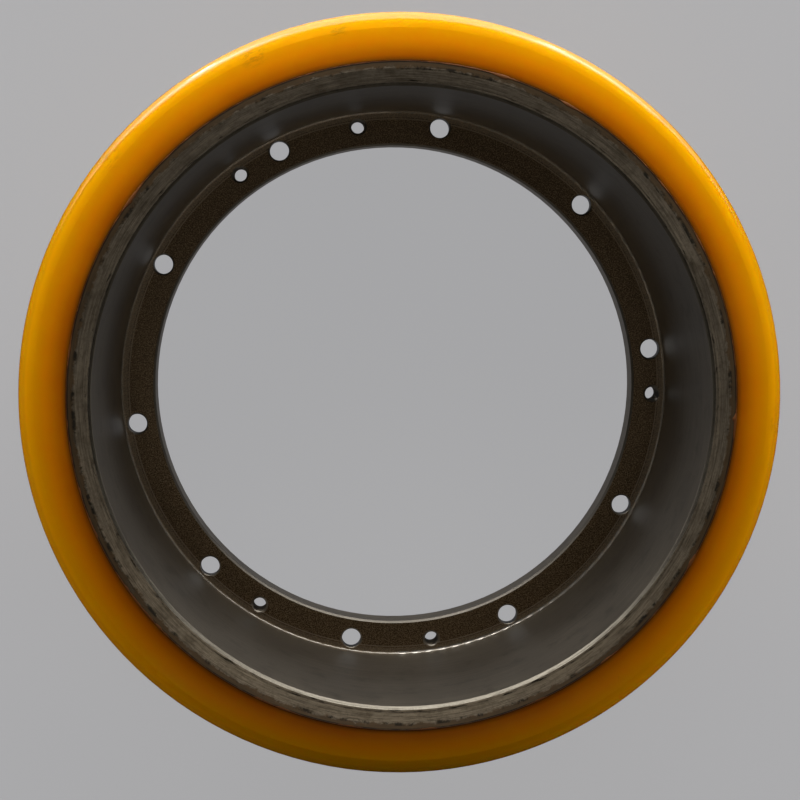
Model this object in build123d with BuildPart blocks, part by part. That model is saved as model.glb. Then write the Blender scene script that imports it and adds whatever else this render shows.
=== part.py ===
from build123d import *
import os

# Polyurethane drive wheel: a turned steel rim with a polyurethane tyre bonded on it.
# The wheel lies on its back face, with its axis along +Z and its open end up.
# The origin is on the axis, at the back face. All sizes are in millimetres.

# Overall size
wheel_diameter = 343
wheel_width = 114

# Tyre
tyre_thickness = 23.2
shoulder_radius = 11
side_taper = 5.2
side_crown = 0.6

# Rim barrel
rim_wall = 10.65
rim_bevel_width = 3
rim_bevel_depth = 0.8
mouth_chamfer = 1.3
corner_radius = 1.2
face_groove_inset = 0.15
face_groove_width = 1
face_groove_depth = 0.35

# Web, the ring at the back of the barrel that bolts to the hub
web_thickness = 13.8
web_height = 17.05
web_bore_chamfer = 1
relief_width = 3.7
relief_depth = 0.5

# Bolt holes, counterbored from the back
bolt_count = 10
first_bolt_angle = 8.34
bolt_edge_distance = 10.5
bolt_hole_diameter = 9.6
bolt_head_diameter = 17
bolt_land = 6
hole_edge_break = 0.8

# Tapped holes on the bolt circle, given by their angles from the first bolt hole
tapped_angles = (90, 118, -130, -90, -10)
tap_drill_diameter = 6.8
tapped_mouth_diameter = 9

# Full angle of every countersunk hole mouth
countersink_angle = 90

wheel_radius = wheel_diameter / 2
rim_radius = wheel_radius - tyre_thickness
barrel_radius = rim_radius - rim_wall
web_bore_radius = barrel_radius - web_height
bolt_circle_radius = web_bore_radius + bolt_edge_distance
relief_floor = web_thickness - relief_depth
relief_radius = barrel_radius - relief_width
bevel_radius = rim_radius - rim_bevel_width
groove_inner_radius = barrel_radius + mouth_chamfer + face_groove_inset
groove_outer_radius = groove_inner_radius + face_groove_width
groove_floor = wheel_width - face_groove_depth

# The tyre meets the rim where the rim's edge bevels end.
tyre_bottom = rim_bevel_depth
tyre_top = wheel_width - rim_bevel_depth

front_of_web = Plane.XY.offset(web_thickness)
back_of_web = Plane(origin=(0, 0, 0), x_dir=(1, 0, 0), z_dir=(0, 0, -1))


with BuildPart() as steel_rim:
    with BuildSketch(Plane.XZ) as rim_section:
        with BuildLine():
            Polyline(
                (web_bore_radius, 0),
                (bevel_radius, 0),
                (rim_radius, tyre_bottom),
                (rim_radius, tyre_top),
                (bevel_radius, wheel_width),
                (groove_outer_radius, wheel_width),
                (groove_outer_radius, groove_floor),
                (groove_inner_radius, groove_floor),
                (groove_inner_radius, wheel_width),
                (barrel_radius, wheel_width),
                (barrel_radius, relief_floor),
                (relief_radius, relief_floor),
                (relief_radius, web_thickness),
                (web_bore_radius, web_thickness),
                close=True,
            )
        make_face()
        chamfer(rim_section.vertices().group_by(Axis.X)[0], web_bore_chamfer)
        chamfer(rim_section.vertices().sort_by_distance((barrel_radius, wheel_width))[0], mouth_chamfer)
        fillet(rim_section.vertices().sort_by_distance((barrel_radius, relief_floor))[0], corner_radius)
    revolve(axis=Axis.Z)

    # The bolt heads sit in the back face. Angles seen from the back run the other way.
    with Locations(back_of_web):
        with PolarLocations(bolt_circle_radius, bolt_count, start_angle=-first_bolt_angle):
            CounterBoreHole(
                radius=bolt_hole_diameter / 2,
                counter_bore_radius=bolt_head_diameter / 2,
                counter_bore_depth=web_thickness - bolt_land,
                depth=web_thickness,
            )
    with Locations(front_of_web):
        with PolarLocations(bolt_circle_radius, bolt_count, start_angle=first_bolt_angle):
            CounterSinkHole(
                radius=bolt_hole_diameter / 2,
                counter_sink_radius=bolt_hole_diameter / 2 + hole_edge_break,
                depth=web_thickness,
                counter_sink_angle=countersink_angle,
            )

    for web_face, turn in ((front_of_web, 1), (back_of_web, -1)):
        for angle in tapped_angles:
            with Locations(web_face):
                with PolarLocations(bolt_circle_radius, 1, start_angle=turn * (first_bolt_angle + angle)):
                    CounterSinkHole(
                        radius=tap_drill_diameter / 2,
                        counter_sink_radius=tapped_mouth_diameter / 2,
                        depth=web_thickness,
                        counter_sink_angle=countersink_angle,
                    )

with BuildPart() as polyurethane_tyre:
    with BuildSketch(Plane.XZ) as tyre_section:
        with BuildLine():
            seat = Line((rim_radius, tyre_bottom), (rim_radius, tyre_top))
            top_side = SagittaArc(seat @ 1, (wheel_radius, tyre_top - side_taper), side_crown)
            tread = Line(top_side @ 1, (wheel_radius, tyre_bottom + side_taper))
            SagittaArc(tread @ 1, seat @ 0, side_crown)
        make_face()
        fillet(tyre_section.vertices().group_by(Axis.X)[-1], shoulder_radius)
    revolve(axis=Axis.Z)

os.makedirs("parts", exist_ok=True)
steel_rim.part.label = "steel_rim"
polyurethane_tyre.part.label = "polyurethane_tyre"
export_step(steel_rim.part, "parts/steel_rim.step")
export_step(polyurethane_tyre.part, "parts/polyurethane_tyre.step")
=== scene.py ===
import math

import bmesh
import bpy
from mathutils import Matrix, Vector, noise


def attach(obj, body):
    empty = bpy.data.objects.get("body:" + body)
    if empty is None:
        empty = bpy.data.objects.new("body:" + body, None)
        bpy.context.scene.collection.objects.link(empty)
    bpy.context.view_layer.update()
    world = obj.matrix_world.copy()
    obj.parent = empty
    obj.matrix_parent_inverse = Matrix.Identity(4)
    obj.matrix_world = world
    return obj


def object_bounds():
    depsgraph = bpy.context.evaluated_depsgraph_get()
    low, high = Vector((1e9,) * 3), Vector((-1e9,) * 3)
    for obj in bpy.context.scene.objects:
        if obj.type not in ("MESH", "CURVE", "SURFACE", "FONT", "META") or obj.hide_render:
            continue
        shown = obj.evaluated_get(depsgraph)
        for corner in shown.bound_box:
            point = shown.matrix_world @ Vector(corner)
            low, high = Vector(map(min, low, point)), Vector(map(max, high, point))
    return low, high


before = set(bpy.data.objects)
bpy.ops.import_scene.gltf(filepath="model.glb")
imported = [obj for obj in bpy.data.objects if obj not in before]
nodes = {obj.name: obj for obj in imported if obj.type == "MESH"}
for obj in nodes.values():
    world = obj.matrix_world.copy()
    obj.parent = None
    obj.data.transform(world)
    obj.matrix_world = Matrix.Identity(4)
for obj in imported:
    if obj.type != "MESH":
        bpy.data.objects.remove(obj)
cad_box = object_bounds()

# Sizes of the wheel in metres, in the row frame. The outer ones come from the solids.
WHEEL_RADIUS = round(cad_box[1][0], 5)
WHEEL_WIDTH = round(cad_box[1][2], 5)
TYRE_THICKNESS = 0.0232
RIM_WALL = 0.01065
WEB_HEIGHT = 0.01705
WEB_THICKNESS = 0.0138
RELIEF_WIDTH = 0.0037
BEVEL_WIDTH = 0.003
BEVEL_DEPTH = 0.0008
BOLT_EDGE_DISTANCE = 0.0105
FIRST_BOLT_ANGLE = 8.34
TAPPED_HOLE_TURNS = (90, 118, -130, -90, -10)
TAP_DRILL_RADIUS = 0.0034

RIM_RADIUS = WHEEL_RADIUS - TYRE_THICKNESS
BARREL_RADIUS = RIM_RADIUS - RIM_WALL
WEB_BORE_RADIUS = BARREL_RADIUS - WEB_HEIGHT
RELIEF_RADIUS = BARREL_RADIUS - RELIEF_WIDTH
BOLT_CIRCLE_RADIUS = WEB_BORE_RADIUS + BOLT_EDGE_DISTANCE
TYRE_TOP = WHEEL_WIDTH - BEVEL_DEPTH
BEVEL_SLOPE = BEVEL_DEPTH / BEVEL_WIDTH

# Colours of the steel
BARE_DARK = (0.225, 0.180, 0.126)
BARE_PALE = (0.37, 0.310, 0.226)
TOOL_LINE = (0.16, 0.132, 0.098)
SMEAR = (0.085, 0.066, 0.042)
BRONZE_DARK = (0.080, 0.052, 0.026)
BRONZE_PALE = (0.315, 0.226, 0.132)
BARREL_DARK = (0.075, 0.066, 0.054)
BARREL_PALE = (0.145, 0.128, 0.105)
# Painted light: the barrel is taken towards this pale tone near the web
BARREL_PAINTED_LIGHT = (0.46, 0.415, 0.345)
# Painted highlight: the web's corner fillet is painted pale, standing for its bright line
CORNER_HIGHLIGHT = (0.70, 0.645, 0.555)
LIP_DARK = (0.225, 0.202, 0.162)
LIP_PALE = (0.35, 0.318, 0.256)
BORE_EDGE = (0.187, 0.171, 0.146)
HOLE_MOUTH = (0.235, 0.210, 0.175)
# Painted shade: the walls of the bolt holes are painted nearly black
HOLE_WALL_SHADE = (0.020, 0.016, 0.012)
RELIEF_FLOOR = (0.46, 0.375, 0.270)
RELIEF_EDGE = (0.46, 0.37, 0.27)
GRIT = (0.075, 0.058, 0.038)
STREAK = (0.052, 0.040, 0.026)
PRIMER_DARK = (0.082, 0.050, 0.023)
PRIMER_PALE = (0.145, 0.092, 0.046)
BLOTCH = (0.012, 0.012, 0.009)
JOINT = (0.016, 0.012, 0.008)
PIT = (0.006, 0.005, 0.004)

# Colours of the polyurethane
AMBER_THIN = (0.34, 0.080, 0.001)
AMBER_DEEP = (0.70, 0.225, 0.001)
AMBER_SHOULDER = (0.78, 0.360, 0.001)
AMBER_SIDE = (0.66, 0.322, 0.001)
AMBER_CLOUD = (0.88, 0.34, 0.002)
# Partly painted shade: darker amber next to the rim
AMBER_EDGE_SHADE = (0.16, 0.050, 0.003)
AMBER_JOINT = (0.055, 0.018, 0.004)
SCUFF = (0.26, 0.125, 0.012)
AGED_DARK = (0.075, 0.024, 0.006)
AGED_PALE = (0.20, 0.072, 0.020)

# Places where the tyre's edge is rubbed, and how far each mark reaches
SCUFF_SPOTS = (
    ((-0.0667, 0.1510, 0.109), 0.0090),
    ((-0.0296, 0.1622, 0.109), 0.0060),
    ((-0.1300, 0.1062, 0.107), 0.0090),
    ((0.1680, -0.0110, 0.107), 0.0060),
)

# Colours of the studio, the glow's share of the floor near the wheel, and its strength farther away
FLOOR_GLOW = ((0.50, 0.50, 0.515), (0.54, 0.54, 0.55))
FLOOR_CLOTH = ((0.24, 0.24, 0.245), (0.27, 0.27, 0.275))
# Painted shadow: the floor's cloth as seen in the metal round the tyre
FLOOR_MIRRORED_SHADOW = (0.01, 0.01, 0.01)
FLOOR_HALF_SIZE = 12.0
GLOW_NEAR = 0.72
GLOW_FAR = 0.74
BACKGROUND = (0.385, 0.385, 0.394, 1)
ROOM_LIGHT = (1.0, 0.95, 0.88, 1)
ROOM_STRENGTH = 0.038
WARM_SIDE = (1.0, 0.80, 0.58)
WARM_FRONT = (1.0, 0.96, 0.90)

LENS_MM = 69.91
SENSOR_MM = 36
CAMERA_PLACE = (-0.03319, 0.05190, 0.79705)
CAMERA_LOOK = (0.04537, -0.07507, -0.99615)
CAMERA_UP = (0, 0.99717, -0.07515)


class Graph:
    """Short calls that build one material's nodes."""

    def __init__(self, name):
        self.material = bpy.data.materials.new(name)
        self.material.use_nodes = True
        self.tree = self.material.node_tree
        self.tree.nodes.clear()
        # Object coordinates, and the radius and height round the wheel's axis
        self.point = self.add("TexCoord").outputs["Object"]
        self.parts = self.add("SeparateXYZ", {"Vector": self.point}).outputs
        self.height = self.parts["Z"]
        squares = [self.times(self.parts[axis], self.parts[axis]) for axis in "XY"]
        self.radius = self.math("SQRT", self.plus(*squares))

    def put(self, socket, value):
        if isinstance(value, bpy.types.NodeSocket):
            self.tree.links.new(value, socket)
        else:
            socket.default_value = value

    def add(self, kind, inputs=None, **settings):
        node = self.tree.nodes.new("ShaderNode" + kind)
        for key, value in settings.items():
            setattr(node, key, value)
        for key, value in (inputs or {}).items():
            self.put(node.inputs[key], value)
        return node

    def math(self, operation, *values, clamp=False):
        node = self.add("Math", operation=operation, use_clamp=clamp)
        for index, value in enumerate(values):
            self.put(node.inputs[index], value)
        return node.outputs[0]

    def plus(self, first, second):
        return self.math("ADD", first, second)

    def times(self, first, second):
        return self.math("MULTIPLY", first, second)

    def limit(self, value):
        return self.math("ADD", value, 0.0, clamp=True)

    def total(self, start, terms):
        """The start value plus every mask times its share."""
        for mask, share in terms:
            start = self.plus(start, self.times(mask, share))
        return start

    def step(self, value, start, end, low=0.0, high=1.0):
        """A smooth step from low at start to high at end."""
        inputs = {"Value": value, "From Min": start, "From Max": end, "To Min": low, "To Max": high}
        return self.add("MapRange", inputs, interpolation_type="SMOOTHSTEP").outputs["Result"]

    def band(self, value, low, high, soft):
        """One between low and high, fading to zero over soft."""
        return self.times(self.step(value, low - soft, low), self.step(value, high, high + soft, 1.0, 0.0))

    def blend(self, factor, first, second):
        node = self.add("Mix", data_type="RGBA", blend_type="MIX")
        self.put(node.inputs["Factor"], factor)
        self.put(node.inputs["A"], first if isinstance(first, bpy.types.NodeSocket) else (*first, 1))
        self.put(node.inputs["B"], second if isinstance(second, bpy.types.NodeSocket) else (*second, 1))
        return node.outputs["Result"]

    def tint(self, base, mask, share, colour):
        """The base colour, taken towards the given one by a share of the mask."""
        return self.blend(self.times(mask, share), base, colour)

    def grain(self, vector, scale, detail=2.0, roughness=0.5):
        inputs = {"Vector": vector, "Scale": scale, "Detail": detail, "Roughness": roughness}
        return self.add("TexNoise", inputs).outputs["Fac"]

    def turned(self, across, across_scale, round_scale):
        """Coordinates for marks that run round the axis: close together across, and long round it."""
        inputs = {"X": self.times(across, across_scale)}
        for socket, axis in (("Y", "X"), ("Z", "Y")):
            inputs[socket] = self.times(self.math("DIVIDE", self.parts[axis], self.radius), round_scale)
        return self.add("CombineXYZ", inputs).outputs[0]

    def finish(self, shader):
        self.add("OutputMaterial", {"Surface": shader})
        return self.material


def steel_marks(g):
    """Tool marks round the axis, and speckle, clouds and smears."""
    along = g.plus(g.radius, g.height)
    return {
        "fine": g.grain(g.turned(along, 2600.0, 2.2), 1.0, 3.0, 0.65),
        "coarse": g.grain(g.turned(along, 520.0, 1.4), 1.0, 2.0, 0.5),
        "speckle": g.grain(g.point, 1750.0, 2.0, 0.7),
        "cloud": g.grain(g.point, 28.0, 4.0, 0.6),
        "smear": g.grain(g.point, 90.0, 3.0, 0.6),
    }


def web_zones(g):
    """Masks for the web: its flat, the holes through it and the edge of its bore."""
    flat = g.band(g.height, WEB_THICKNESS - 0.00052, WEB_THICKNESS + 0.00005, 0.00003)
    normal = g.add("NewGeometry").outputs["True Normal"]
    upright = g.math("ABSOLUTE", g.add("SeparateXYZ", {"Vector": normal}).outputs["Z"])
    between = g.band(g.radius, WEB_BORE_RADIUS + 0.0020, BARREL_RADIUS - 0.0012, 0.0004)
    low = g.step(g.height, WEB_THICKNESS + 0.0004, WEB_THICKNESS + 0.0002)
    hole = g.times(between, low)
    chamfered = g.step(g.radius, WEB_BORE_RADIUS + 0.0012, WEB_BORE_RADIUS + 0.0010)
    chamfered = g.times(chamfered, g.band(g.height, WEB_THICKNESS - 0.0012, WEB_THICKNESS + 0.0001, 0.0001))
    return {
        "web": g.times(flat, g.step(upright, 0.80, 0.92)),
        "mouth": g.times(hole, g.band(upright, 0.65, 0.75, 0.08)),
        "hole": g.times(hole, g.step(upright, 0.50, 0.20)),
        "bore_edge": chamfered,
        "bore_wall": g.step(g.radius, WEB_BORE_RADIUS + 0.0004, WEB_BORE_RADIUS + 0.0001),
        "relief_floor": g.step(g.radius, RELIEF_RADIUS + 0.00005, RELIEF_RADIUS + 0.00085),
        "relief_edge": g.band(g.radius, RELIEF_RADIUS - 0.0005, RELIEF_RADIUS - 0.0001, 0.0002),
    }


def rim_zones(g, smear):
    """Masks for the barrel, the rounded corner at its back, and the rim's face, lip, groove and bevel."""
    wall = g.band(g.radius, BARREL_RADIUS - 0.0001, BARREL_RADIUS + 0.0001, 0.0002)
    barrel = g.times(wall, g.step(g.height, WEB_THICKNESS + 0.0008, WEB_THICKNESS + 0.0022))
    round_corner = g.step(g.radius, BARREL_RADIUS - 0.0013, BARREL_RADIUS - 0.0010)
    inner_edge = g.step(g.radius, BARREL_RADIUS + 0.0014, BARREL_RADIUS + 0.0012)
    channel = g.band(g.radius, BARREL_RADIUS + 0.0015, BARREL_RADIUS + 0.0024, 0.0003)
    top = g.step(g.height, WHEEL_WIDTH - 0.0010, WHEEL_WIDTH - 0.0006)
    # The primer's edge on the bevel is ragged, and it is worn off in places
    wander = g.times(g.math("SUBTRACT", g.grain(g.point, 240.0, 4.0, 0.7), 0.5), 0.0060)
    primed = g.step(g.plus(g.radius, wander), RIM_RADIUS - 0.0036, RIM_RADIUS - 0.0024)
    primed = g.times(primed, g.step(g.height, TYRE_TOP - 0.0004, TYRE_TOP))
    joint = g.step(g.radius, RIM_RADIUS - 0.0009, RIM_RADIUS - 0.0004)
    joint = g.times(joint, g.step(g.height, WHEEL_WIDTH - 0.0014, WHEEL_WIDTH - 0.0010))
    return {
        "face": g.step(g.height, WHEEL_WIDTH - 0.0012, WHEEL_WIDTH - 0.0002),
        "barrel": barrel,
        "barrel_back": g.times(barrel, g.step(g.height, 0.062, 0.020)),
        "corner": g.times(round_corner, g.step(g.height, WEB_THICKNESS + 0.0009, WEB_THICKNESS + 0.0006)),
        "lip": g.times(inner_edge, g.step(g.height, WHEEL_WIDTH - 0.0014, WHEEL_WIDTH - 0.0011)),
        "groove": g.times(channel, top),
        "bond": g.times(primed, g.step(smear, 0.78, 0.60)),
        "seam": g.times(g.band(g.radius, RIM_RADIUS - 0.0034, RIM_RADIUS - 0.0024, 0.0007), top),
        "joint": g.times(joint, g.step(smear, 0.30, 0.50, 0.35, 0.90)),
    }


def steel_colour(g, marks, zones, pits):
    """Bare and lined metal with dirt in it, painted light on the barrel's back, a painted highlight on its
    corner and painted shade in the bolt holes, then the web's bronze tone, then the bonding primer.
    """
    cloud = marks["cloud"]
    bare = g.blend(cloud, BARE_DARK, BARE_PALE)
    lined = g.blend(g.step(marks["fine"], 0.35, 0.72), bare, TOOL_LINE)
    metal = g.tint(lined, g.step(marks["smear"], 0.50, 0.74), 0.50, SMEAR)
    barrel = g.blend(g.step(cloud, 0.35, 0.65), BARREL_DARK, BARREL_PALE)
    lip = g.blend(g.step(marks["fine"], 0.40, 0.60), LIP_DARK, LIP_PALE)
    for zone, share, colour in (
        ("barrel", 0.42, barrel),
        # Painted light: the barrel's back part is painted paler
        ("barrel_back", 0.42, BARREL_PAINTED_LIGHT),
        # Painted highlight: the corner fillet is painted pale
        ("corner", 0.9, CORNER_HIGHLIGHT),
        ("lip", 0.9, lip),
        ("bore_edge", 0.8, BORE_EDGE),
        ("mouth", 0.8, HOLE_MOUTH),
        # Painted shade: the bolt holes' walls are painted nearly black
        ("hole", 0.9, HOLE_WALL_SHADE),
    ):
        metal = g.tint(metal, zones[zone], share, colour)

    bronze = g.blend(g.step(marks["speckle"], 0.42, 0.66), BRONZE_DARK, BRONZE_PALE)
    bronze = g.tint(bronze, zones["relief_floor"], 0.34, RELIEF_FLOOR)
    bronze = g.tint(bronze, zones["relief_edge"], 0.55, RELIEF_EDGE)
    colour = g.blend(zones["web"], metal, bronze)

    # The face is gritty and streaked, and the bevel carries dark brown primer
    grit = g.times(zones["face"], g.step(g.grain(g.point, 620.0, 3.0, 0.7), 0.48, 0.64))
    colour = g.tint(colour, grit, 0.28, GRIT)
    colour = g.blend(zones["bond"], colour, g.blend(cloud, PRIMER_DARK, PRIMER_PALE))
    drag = g.grain(g.turned(g.radius, 1300.0, 13.0), 1.0, 5.0, 0.75)
    colour = g.tint(colour, g.times(zones["face"], g.step(drag, 0.44, 0.62)), 0.50, STREAK)
    blotch = g.times(zones["seam"], g.step(g.grain(g.point, 110.0, 5.0, 0.75), 0.50, 0.62))
    colour = g.tint(colour, blotch, 0.85, BLOTCH)
    colour = g.blend(zones["joint"], colour, JOINT)
    return g.blend(pits, colour, PIT)


def steel_normal(g, marks, zones, pits):
    """Fine bumps, over normals that are evened where the steel is primed or worn."""
    bumps = g.total(0.0, (
        (marks["fine"], 0.6),
        (marks["coarse"], 0.8),
        (g.times(marks["speckle"], zones["web"]), 1.6),
        (pits, -3.0),
        (g.times(marks["coarse"], zones["face"]), 0.6),
        (g.times(marks["fine"], zones["barrel"]), -0.2),
    ))
    bumps = g.times(bumps, g.total(1.0, ((zones["corner"], -0.9),)))
    # The primer evens out the bevel, and the bore's and holes' edges are worn round
    worn = g.plus(zones["bore_edge"], zones["mouth"])
    facing = g.add("Mix", data_type="VECTOR")
    g.put(facing.inputs["Factor"], g.total(0.0, ((zones["bond"], 0.7), (worn, 0.22))))
    g.put(facing.inputs[4], g.add("NewGeometry").outputs["Normal"])
    facing.inputs[5].default_value = (0, 0, 1)
    facing = g.add("VectorMath", {0: facing.outputs[1]}, operation="NORMALIZE").outputs[0]
    inputs = {"Height": bumps, "Strength": 0.35, "Distance": 0.00006, "Normal": facing}
    return g.add("Bump", inputs).outputs["Normal"]


def steel_material():
    g = Graph("turned_steel")
    marks = steel_marks(g)
    zones = {**web_zones(g), **rim_zones(g, marks["smear"])}
    dashes = g.grain(g.turned(g.radius, 900.0, 22.0), 1.0, 4.0, 0.7)
    pits = g.times(zones["groove"], g.step(dashes, 0.52, 0.68, 0.0, 0.85))
    metallic = g.total(1.0, (
        (zones["bond"], -0.30),
        (zones["barrel"], -0.25),
        (zones["corner"], -0.35),
        (zones["bore_wall"], -0.40),
        (zones["web"], -0.16),
    ))
    rough = g.total(0.30, (
        (marks["cloud"], 0.16),
        (zones["web"], 0.20),
        (zones["barrel"], 0.05),
        (zones["corner"], -0.16),
        (pits, 0.40),
    ))
    shader = g.add("BsdfPrincipled", {
        "Base Color": steel_colour(g, marks, zones, pits),
        "Metallic": g.limit(metallic),
        "Roughness": g.limit(rough),
        "Anisotropic": 0.45,
        "Tangent": g.add("Tangent", direction_type="RADIAL", axis="Z").outputs[0],
        "Normal": steel_normal(g, marks, zones, pits),
    })
    return g.finish(shader.outputs[0])


def scuffs(g):
    """Small rubbed marks: a few by chance, and some at the spots that are worn most."""
    chance = g.step(g.grain(g.point, 260.0, 5.0, 0.72), 0.665, 0.70)
    marks = g.times(chance, g.step(g.grain(g.point, 17.0, 2.0, 0.5), 0.60, 0.72))
    rubbed = g.step(g.grain(g.turned(g.radius, 900.0, 45.0), 1.0, 4.0, 0.7), 0.45, 0.62)
    for spot, reach in SCUFF_SPOTS:
        away = g.add("VectorMath", {0: g.point, 1: spot}, operation="DISTANCE").outputs["Value"]
        marks = g.math("MAXIMUM", marks, g.times(g.step(away, reach, reach * 0.2), rubbed))
    return marks


def polyurethane_material():
    g = Graph("amber_polyurethane")
    cloud = g.grain(g.point, 22.0, 3.0, 0.55)
    scuff = scuffs(g)

    # The tyre is thin over the dark rim at its inner edge, and clear and yellow at its shoulder
    amber = g.blend(g.step(g.radius, RIM_RADIUS, RIM_RADIUS + 0.0110), AMBER_THIN, AMBER_DEEP)
    amber = g.blend(g.step(g.radius, RIM_RADIUS + 0.0075, RIM_RADIUS + 0.0190), amber, AMBER_SHOULDER)
    side = g.step(g.radius, WHEEL_RADIUS - 0.0046, WHEEL_RADIUS - 0.0034)
    amber = g.tint(amber, side, 0.60, AMBER_SIDE)
    amber = g.tint(amber, g.step(cloud, 0.40, 0.70), 0.12, AMBER_CLOUD)
    # Next to the rim the amber is darker still: partly thin amber over the dark steel, partly painted shade
    # at the joint
    amber = g.blend(g.step(g.radius, RIM_RADIUS - 0.0002, RIM_RADIUS + 0.0030), AMBER_EDGE_SHADE, amber)
    amber = g.blend(g.step(g.radius, RIM_RADIUS + 0.0002, RIM_RADIUS + 0.0008), AMBER_JOINT, amber)
    amber = g.tint(amber, scuff, 0.42, SCUFF)

    # The side is glossy; the face is dull where it rubs and where the mould left it so
    gloss = g.step(g.radius, WHEEL_RADIUS - 0.0049, WHEEL_RADIUS - 0.0041, 0.006, 0.42)
    rough = g.limit(g.total(0.10, ((cloud, 0.06), (scuff, 0.25))))
    ripple = g.total(g.grain(g.point, 60.0, 2.0, 0.5), ((g.grain(g.point, 900.0, 2.0, 0.6), 0.12),))
    bump = g.add("Bump", {"Height": ripple, "Strength": 0.20, "Distance": 0.00025}).outputs["Normal"]
    shader = g.add("BsdfPrincipled", {
        "Base Color": amber,
        "Roughness": rough,
        "IOR": 1.5,
        "Specular IOR Level": gloss,
        "Subsurface Weight": 0.55,
        "Subsurface Radius": (0.9, 0.50, 0.04),
        "Subsurface Scale": 0.006,
        "Normal": bump,
    })
    return g.finish(shader.outputs[0])


def flash_material():
    g = Graph("aged_polyurethane")
    cloud = g.grain(g.point, 70.0, 3.0, 0.6)
    shader = g.add("BsdfPrincipled", {
        "Base Color": g.blend(cloud, AGED_DARK, AGED_PALE),
        "Roughness": g.total(0.38, ((cloud, 0.2),)),
        "Specular IOR Level": 0.15,
    })
    return g.finish(shader.outputs[0])


def floor_material():
    g = Graph("pale_floor")
    mottle = g.grain(g.point, 3.0, 2.0, 0.5)
    path = g.add("LightPath").outputs
    beside = g.step(g.radius, 0.142, 0.150)
    # Seen in the metal round the tyre, the floor's cloth is painted nearly black, a painted shadow
    cloth = g.tint(g.blend(mottle, *FLOOR_CLOTH), g.times(path["Is Glossy Ray"], beside), 0.95, FLOOR_MIRRORED_SHADOW)
    lit = g.add("BsdfDiffuse", {"Color": cloth, "Roughness": 0.4}).outputs[0]
    # Away from the wheel the floor is even, whatever the lamps near it do
    strength = g.step(g.radius, 0.40, 0.70, 1.0, GLOW_FAR)
    glow = g.add("Emission", {"Color": g.blend(mottle, *FLOOR_GLOW), "Strength": strength}).outputs[0]
    seen = g.math("MAXIMUM", path["Is Camera Ray"], path["Is Transmission Ray"])
    seen = g.times(seen, g.step(g.radius, 0.40, 0.70, GLOW_NEAR, 1.0))
    # Seen in the metal, the floor is pale inside the bore, and round the tyre it is dark, a painted shadow
    # in the reflections
    inside = g.times(g.step(g.radius, 0.105, 0.114, 0.12, 0.30), g.step(g.radius, 0.142, 0.150, 1.0, 0.0))
    weight = g.math("MAXIMUM", seen, g.times(path["Is Glossy Ray"], inside))
    shader = g.add("MixShader", {0: weight, 1: lit, 2: glow}).outputs[0]
    return g.finish(shader)


def mesh_object(name, bm):
    mesh = bpy.data.meshes.new(name)
    bm.to_mesh(mesh)
    bm.free()
    for polygon in mesh.polygons:
        polygon.use_smooth = True
    piece = bpy.data.objects.new(name, mesh)
    bpy.context.scene.collection.objects.link(piece)
    return piece


def dress(piece, material):
    piece.data.materials.append(material)
    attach(piece, "root")


def skin_rows(bm, rows, closed):
    """Joins rows of vertices, each a closed cross-section, into one skin."""
    following = rows[1:] + rows[:1] if closed else rows[1:]
    for row, other in zip(rows, following):
        count = len(row)
        for k in range(count):
            bm.faces.new((row[k], other[k], other[(k + 1) % count], row[(k + 1) % count]))
    if not closed:
        bm.faces.new(rows[0])
        bm.faces.new(list(reversed(rows[-1])))
    bmesh.ops.recalc_face_normals(bm, faces=bm.faces)


def flash_line(material):
    """The thin uneven skin of polyurethane that crept onto the rim's edge bevel."""
    steps = 1440
    thinnest, widest = 0.00005, 0.0016
    nub_angle = math.radians(-3.2)
    nub_width, nub_creep = 0.006, 0.0009
    bm = bmesh.new()
    rows = []
    for index in range(steps):
        angle = 2 * math.pi * index / steps
        spin = Vector((math.cos(angle), math.sin(angle), 0))
        wander = noise.fractal(spin * 9, 0.8, 2.2, 4)
        creep = thinnest + 0.00120 * max(wander - 0.08, 0)
        away = (angle - nub_angle + math.pi) % (2 * math.pi) - math.pi
        creep += nub_creep * math.exp(-((away / nub_width) ** 2))
        creep = min(max(creep, thinnest), widest)
        skin = 0.00002 + 0.00012 * max(wander, 0)
        rise = TYRE_TOP + BEVEL_SLOPE * creep
        reach = 0.00012 + 0.00050 * max(wander - 0.05, 0)
        profile = (
            (RIM_RADIUS + reach * 0.8, TYRE_TOP - 0.00020),
            (RIM_RADIUS - 0.00003, TYRE_TOP - 0.00006),
            (RIM_RADIUS - creep, rise - 0.00003),
            (RIM_RADIUS - creep + skin / 2, rise + skin),
            (RIM_RADIUS + reach / 2, TYRE_TOP + skin),
            (RIM_RADIUS + reach, TYRE_TOP - 0.12 * reach),
        )
        rows.append([bm.verts.new(spin * r + Vector((0, 0, z))) for r, z in profile])
    skin_rows(bm, rows, closed=True)
    dress(mesh_object("flash_line", bm), material)


def thread(name, angle, material):
    """The crests of a fine thread, as a helical ridge on the wall of a tapped hole."""
    pitch, low, high, turn_steps = 0.00125, 0.0016, 0.0122, 28
    root = TAP_DRILL_RADIUS + 0.00003
    crest = TAP_DRILL_RADIUS - 0.00016
    profile = ((root, -0.0005), (crest, -0.00008), (crest, 0.00008), (root, 0.0005))
    centre = Vector((math.cos(angle), math.sin(angle), 0)) * BOLT_CIRCLE_RADIUS
    bm = bmesh.new()
    rows = []
    for index in range(int((high - low) / pitch * turn_steps) + 1):
        turn = 2 * math.pi * index / turn_steps
        rise = low + pitch * index / turn_steps
        spin = Vector((math.cos(turn), math.sin(turn), 0))
        rows.append([bm.verts.new(centre + spin * r + Vector((0, 0, rise + z))) for r, z in profile])
    skin_rows(bm, rows, closed=False)
    dress(mesh_object(name, bm), material)


def floor():
    bm = bmesh.new()
    bmesh.ops.create_grid(bm, x_segments=8, y_segments=8, size=FLOOR_HALF_SIZE)
    piece = mesh_object("floor", bm)
    piece.data.materials.append(floor_material())


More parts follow.
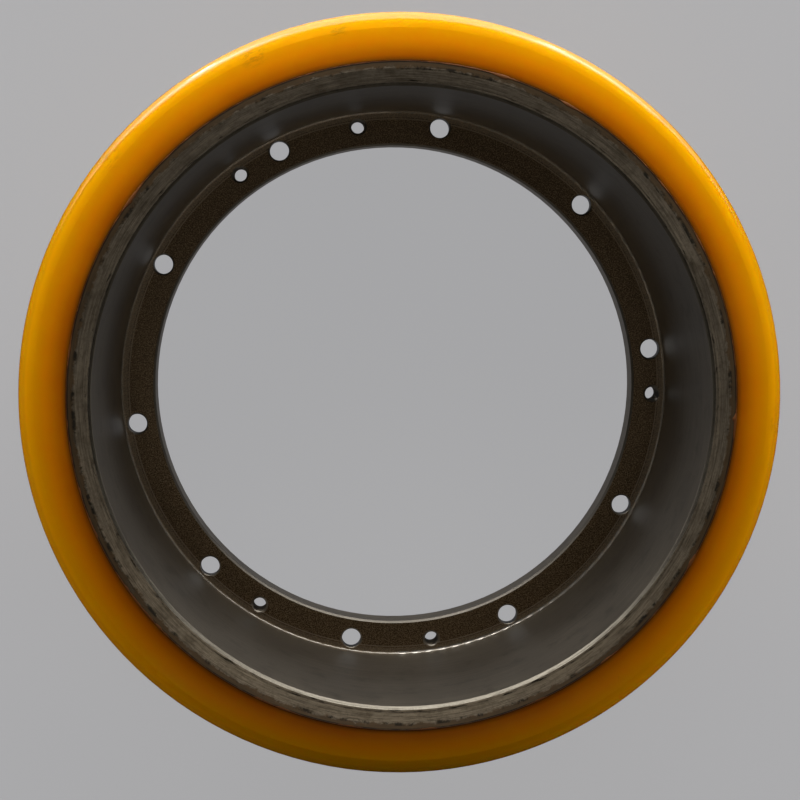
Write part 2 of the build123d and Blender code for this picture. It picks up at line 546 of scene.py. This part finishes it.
def camera():
    data = bpy.data.cameras.new("camera")
    data.lens = LENS_MM
    data.sensor_width = SENSOR_MM
    data.dof.use_dof = False
    look = Vector(CAMERA_LOOK).normalized()
    right = look.cross(Vector(CAMERA_UP)).normalized()
    up = right.cross(look)
    turned = Matrix((right, up, -look)).transposed().to_4x4()
    cam = bpy.data.objects.new("camera", data)
    cam.matrix_world = Matrix.Translation(CAMERA_PLACE) @ turned
    bpy.context.scene.collection.objects.link(cam)
    bpy.context.scene.camera = cam


def area_light(name, place, target, size, power, mirrored=True, scattered=True, colour=(1, 1, 1)):
    data = bpy.data.lights.new(name, "AREA")
    data.shape = "RECTANGLE"
    data.size, data.size_y = size
    data.energy = power
    data.color = colour
    lamp = bpy.data.objects.new(name, data)
    lamp.location = place
    lamp.visible_glossy = mirrored
    lamp.visible_diffuse = scattered
    lamp.rotation_mode = "QUATERNION"
    lamp.rotation_quaternion = (Vector(target) - Vector(place)).to_track_quat("-Z", "Y")
    bpy.context.scene.collection.objects.link(lamp)


def lying_panels(panels):
    """Panels that face up near the floor and are only seen mirrored in the wheel."""
    for name, place, size, power in panels:
        area_light(name, place, (place[0], place[1], 1.0), size, power, scattered=False)


def lamps():
    area_light("key_top", (0.06, 1.25, 0.31), (0, 0, 0.10), (1.7, 0.50), 21.0, mirrored=False)

    # The pale band round the tyre's upper edge, and two glints in it
    lying_panels((
        ("panel_near", (0, 0.2225, 0.012), (0.9, 0.095), 0.16),
        ("panel_back", (0, 0.385, 0.012), (1.1, 0.23), 1.7),
        ("panel_far", (0, 0.725, 0.012), (1.6, 0.45), 6.2),
    ))
    area_light("panel_wall", (0, 0.95, 0.09), (0, 0, 0.09), (1.9, 0.18), 3.3, scattered=False)
    lying_panels((
        ("panel_left", (-0.33, 0.66, 0.015), (0.26, 0.52), 3.0),
        ("panel_right", (0.33, 0.66, 0.015), (0.26, 0.52), 3.0),
        ("glint_left", (-0.193, 0.316, 0.020), (0.030, 0.030), 0.12),
        ("glint_right", (0.159, 0.334, 0.020), (0.022, 0.022), 0.06),
    ))

    for name, x, power in (("side_left", -1.25, 5.8), ("side_right", 1.25, 8.2)):
        place = (x, -0.05, 0.06)
        area_light(name, place, (0, 0, 0.06), (0.9, 0.10), power, mirrored=False, colour=WARM_SIDE)
    area_light("key_high", (0.0, 1.05, 0.61), (0, 0, 0.03), (1.8, 0.42), 9.4)

    # The thin line at the web's corner
    area_light("line_front", (0.0, -1.00, 1.35), (0, 0, 0.02), (1.6, 0.12), 2.0, scattered=False)
    area_light("line_right", (1.05, 0.10, 1.30), (0, 0, 0.02), (0.12, 1.2), 0.5, scattered=False)

    area_light("front_low", (0.0, -0.62, 1.95), (0, 0, 0.10), (0.5, 0.5), 1.5, colour=WARM_FRONT)
    area_light("front_high", (0.0, 0.75, 1.90), (0, 0, 0.10), (0.5, 0.4), 0.9)


def studio():
    """As pale as the floor where the camera sees it, and dim in its light on the wheel."""
    world = bpy.data.worlds.new("studio")
    world.use_nodes = True
    tree = world.node_tree
    dim = tree.nodes["Background"]
    dim.inputs["Color"].default_value = ROOM_LIGHT
    dim.inputs["Strength"].default_value = ROOM_STRENGTH
    pale = tree.nodes.new("ShaderNodeBackground")
    pale.inputs["Color"].default_value = BACKGROUND
    path = tree.nodes.new("ShaderNodeLightPath")
    seen = tree.nodes.new("ShaderNodeMath")
    seen.operation = "MAXIMUM"
    mix = tree.nodes.new("ShaderNodeMixShader")
    for start, end in (
        (path.outputs["Is Camera Ray"], seen.inputs[0]),
        (path.outputs["Is Transmission Ray"], seen.inputs[1]),
        (seen.outputs[0], mix.inputs[0]),
        (dim.outputs[0], mix.inputs[1]),
        (pale.outputs[0], mix.inputs[2]),
        (mix.outputs[0], tree.nodes["World Output"].inputs["Surface"]),
    ):
        tree.links.new(start, end)
    bpy.context.scene.world = world


steel = steel_material()
for node, material in (("steel_rim", steel), ("polyurethane_tyre", polyurethane_material())):
    nodes[node].data.materials.clear()
    nodes[node].data.materials.append(material)

flash_line(flash_material())
for number, turn in enumerate(TAPPED_HOLE_TURNS, 1):
    thread(f"thread_{number}", math.radians(FIRST_BOLT_ANGLE + turn), steel)

floor()
camera()
lamps()
studio()
bpy.context.scene.view_settings.view_transform = "Standard"
